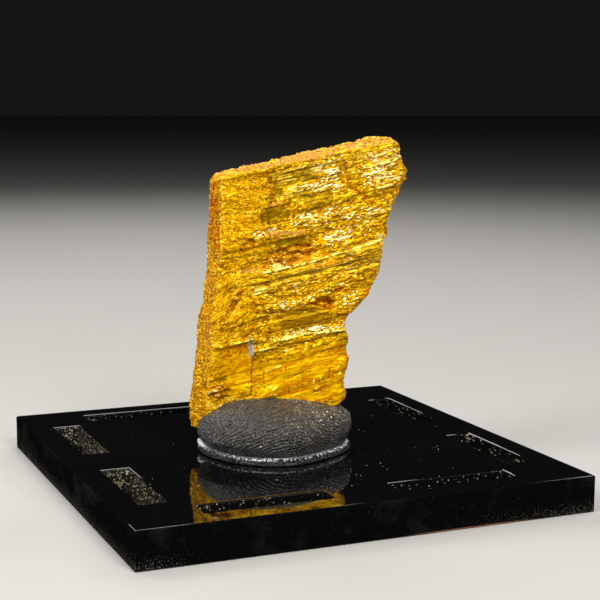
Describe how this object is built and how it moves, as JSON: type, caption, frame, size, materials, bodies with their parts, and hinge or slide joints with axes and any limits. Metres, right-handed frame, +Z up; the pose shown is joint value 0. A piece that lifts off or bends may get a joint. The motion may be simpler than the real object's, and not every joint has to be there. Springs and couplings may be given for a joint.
{
  "type": "orpiment specimen on a display base",
  "caption": "Golden cleaved slab of orpiment standing upright in a lump of black mounting putty on a square, slotted black acrylic display plate.",
  "frame": {"origin": "middle of the plate's underside, on the surface it stands on", "axes": "+Z up; +X runs to the right along the plate's front edge, +Y runs from the front of the plate to its back; the slab's front face looks towards -Y, turned 11 degrees to the left"},
  "size_m": [0.076, 0.076, 0.0586],
  "materials": {
    "black_acrylic": "polished cast acrylic, lightly scratched and dusted",
    "mounting_putty": "satin putty with finger-pressed ridges and golden mineral dust",
    "orpiment": "fibrous golden cleavage, resinous to pearly, with powdery tan edges"
  },
  "bodies": {
    "root": {"base_plate": "black_acrylic", "mounting_putty": "mounting_putty", "orpiment_slab": "orpiment"}
  },
  "joints": []
}
